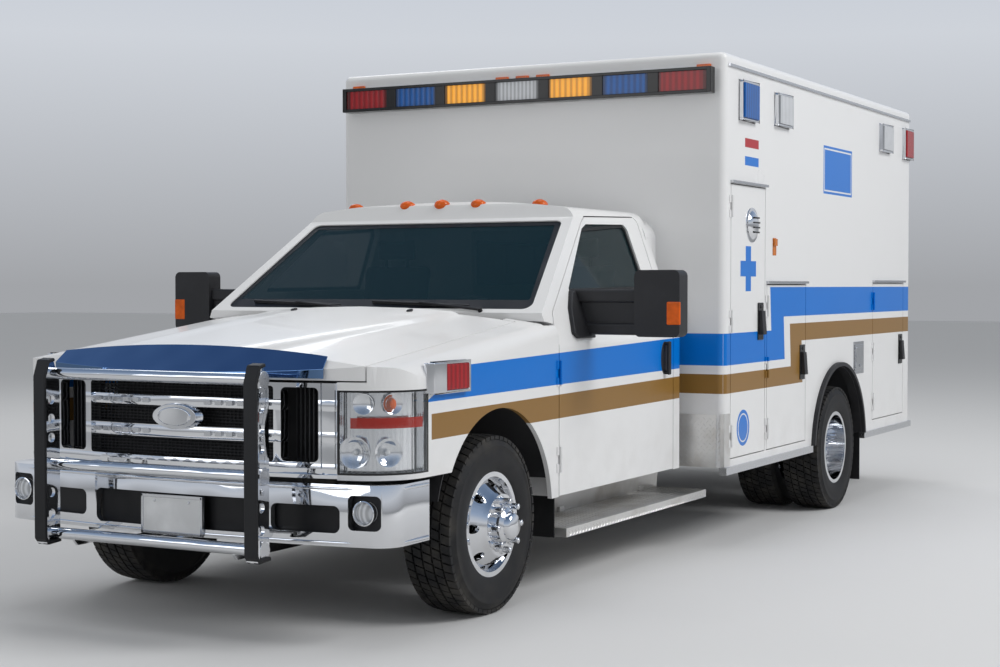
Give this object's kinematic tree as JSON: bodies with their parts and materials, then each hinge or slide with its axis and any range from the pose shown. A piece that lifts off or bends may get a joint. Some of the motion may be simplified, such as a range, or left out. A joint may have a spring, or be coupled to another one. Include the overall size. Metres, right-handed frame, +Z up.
{
  "type": "ambulance",
  "caption": "Box-bodied ambulance on a cutaway van chassis, with steering, rolling wheels, an opening hood and opening doors.",
  "frame": {"origin": "on the ground, midway along the whole length and width", "axes": "+X forward, +Y to the driver's side (left), +Z up"},
  "size_m": [7.3, 2.96, 2.6799],
  "materials": {
    "white_paint": "gloss",
    "chrome": "polished",
    "frame_paint": "satin",
    "cast_metal": "rough",
    "steel": "brushed",
    "aluminium": "satin",
    "tyre": "matte",
    "black_plastic": "matte",
    "grey_trim": "matte",
    "seat_cloth": "matte",
    "glass": "clear",
    "red_lens": "gloss",
    "blue_lens": "gloss",
    "amber_lens": "gloss",
    "clear_lens": "gloss"
  },
  "bodies": {
    "vehicle": {"amber_lamps": "amber_lens", "axles": "cast_metal", "blue_lamps": "blue_lens", "body_trim": "aluminium", "cab_seats": "seat_cloth", "cab_shell": "white_paint", "chassis_frame": "frame_paint", "clear_lamps": "clear_lens", "dashboard": "grey_trim", "driveshaft": "cast_metal", "engine_block": "cast_metal", "exhaust": "steel", "front_bumper": "chrome", "front_fenders": "white_paint", "fuel_tank": "black_plastic", "grille": "chrome", "grille_guard": "chrome", "lightbar": "aluminium", "lockers_left": "aluminium", "lockers_right": "aluminium", "module_end_walls": "white_paint", "module_floor": "aluminium", "module_left_wall": "white_paint", "module_right_wall": "white_paint", "module_roof": "white_paint", "patient_cabinets": "grey_trim", "radiator": "black_plastic", "red_lamps": "red_lens", "tread_plates": "aluminium", "wheel_liners": "black_plastic", "windshield": "glass"},
    "knuckle_left": {"knuckle_left": "cast_metal"},
    "knuckle_right": {"knuckle_right": "cast_metal"},
    "tie_rod": {"tie_rod": "steel"},
    "wheel_front_left": {"tyre_front_left": "tyre", "rim_front_left": "chrome"},
    "wheel_front_right": {"tyre_front_right": "tyre", "rim_front_right": "chrome"},
    "wheels_rear_left": {"tyres_rear_left": "tyre", "rims_rear_left": "chrome"},
    "wheels_rear_right": {"tyres_rear_right": "tyre", "rims_rear_right": "chrome"},
    "hood": {"hood": "white_paint", "hood_shield": "chrome"},
    "cab_door_left": {"cab_door_left": "white_paint", "cab_glass_left": "glass", "mirror_left": "black_plastic"},
    "cab_door_right": {"cab_door_right": "white_paint", "cab_glass_right": "glass", "mirror_right": "black_plastic"},
    "tall_locker_door": {"tall_locker_door": "white_paint"},
    "middle_locker_door": {"middle_locker_door": "white_paint"},
    "rear_locker_door": {"rear_locker_door": "white_paint"},
    "right_locker_door": {"right_locker_door": "white_paint"},
    "entry_door": {"entry_door": "white_paint", "entry_glass": "glass"},
    "rear_door_left": {"rear_door_left": "white_paint", "rear_glass_left": "glass"},
    "rear_door_right": {"rear_door_right": "white_paint", "rear_glass_right": "glass"}
  },
  "joints": [
    {"name": "steer_left", "type": "hinge", "parent": "vehicle", "child": "knuckle_left", "pos_m": [2.5, 0.742, 0.39], "axis": [0, 0, 1], "range_deg": [-32, 32]},
    {"name": "steer_right", "type": "hinge", "parent": "vehicle", "child": "knuckle_right", "pos_m": [2.5, -0.742, 0.39], "axis": [0, 0, 1], "range_deg": [-32, 32]},
    {"name": "tie_rod_swing", "type": "hinge", "parent": "knuckle_left", "child": "tie_rod", "pos_m": [2.35, 0.742, 0.33], "axis": [0, 0, 1], "range_deg": [-32, 32]},
    {"name": "front_left_roll", "type": "hinge", "parent": "knuckle_left", "child": "wheel_front_left", "pos_m": [2.5, 0.867, 0.39], "axis": [0, 1, 0], "continuous": true},
    {"name": "front_right_roll", "type": "hinge", "parent": "knuckle_right", "child": "wheel_front_right", "pos_m": [2.5, -0.867, 0.39], "axis": [0, 1, 0], "continuous": true},
    {"name": "rear_left_roll", "type": "hinge", "parent": "vehicle", "child": "wheels_rear_left", "pos_m": [-1.686, 0.94, 0.39], "axis": [0, 1, 0], "continuous": true},
    {"name": "rear_right_roll", "type": "hinge", "parent": "vehicle", "child": "wheels_rear_right", "pos_m": [-1.686, -0.94, 0.39], "axis": [0, 1, 0], "continuous": true},
    {"name": "hood_hinge", "type": "hinge", "parent": "vehicle", "child": "hood", "pos_m": [2.052, 0, 1.262], "axis": [0, -1, 0], "range_deg": [0, 45]},
    {"name": "cab_door_left_hinge", "type": "hinge", "parent": "vehicle", "child": "cab_door_left", "pos_m": [1.898, 1.01, 0.9], "axis": [0, 0, -1], "range_deg": [0, 70]},
    {"name": "cab_door_right_hinge", "type": "hinge", "parent": "vehicle", "child": "cab_door_right", "pos_m": [1.898, -1.01, 0.9], "axis": [0, 0, 1], "range_deg": [0, 70]},
    {"name": "tall_locker_hinge", "type": "hinge", "parent": "vehicle", "child": "tall_locker_door", "pos_m": [0.253, 1.23, 1.2], "axis": [0, 0, -1], "range_deg": [0, 95]},
    {"name": "middle_locker_hinge", "type": "hinge", "parent": "vehicle", "child": "middle_locker_door", "pos_m": [-0.327, 1.23, 1], "axis": [0, 0, -1], "range_deg": [0, 95]},
    {"name": "rear_locker_hinge", "type": "hinge", "parent": "vehicle", "child": "rear_locker_door", "pos_m": [-2.457, 1.23, 1], "axis": [0, 0, -1], "range_deg": [0, 95]},
    {"name": "right_locker_hinge", "type": "hinge", "parent": "vehicle", "child": "right_locker_door", "pos_m": [-2.457, -1.23, 1], "axis": [0, 0, 1], "range_deg": [0, 95]},
    {"name": "entry_door_hinge", "type": "hinge", "parent": "vehicle", "child": "entry_door", "pos_m": [0.003, -1.23, 1.4], "axis": [0, 0, 1], "range_deg": [0, 95]},
    {"name": "rear_door_left_hinge", "type": "hinge", "parent": "vehicle", "child": "rear_door_left", "pos_m": [-3.41, 0.607, 1.5], "axis": [0, 0, -1], "range_deg": [0, 150]},
    {"name": "rear_door_right_hinge", "type": "hinge", "parent": "vehicle", "child": "rear_door_right", "pos_m": [-3.41, -0.607, 1.5], "axis": [0, 0, 1], "range_deg": [0, 150]}
  ],
  "couplings": [
    {"joint": "steer_right", "follows": "steer_left", "ratio": 1},
    {"joint": "tie_rod_swing", "follows": "steer_left", "ratio": -1}
  ]
}
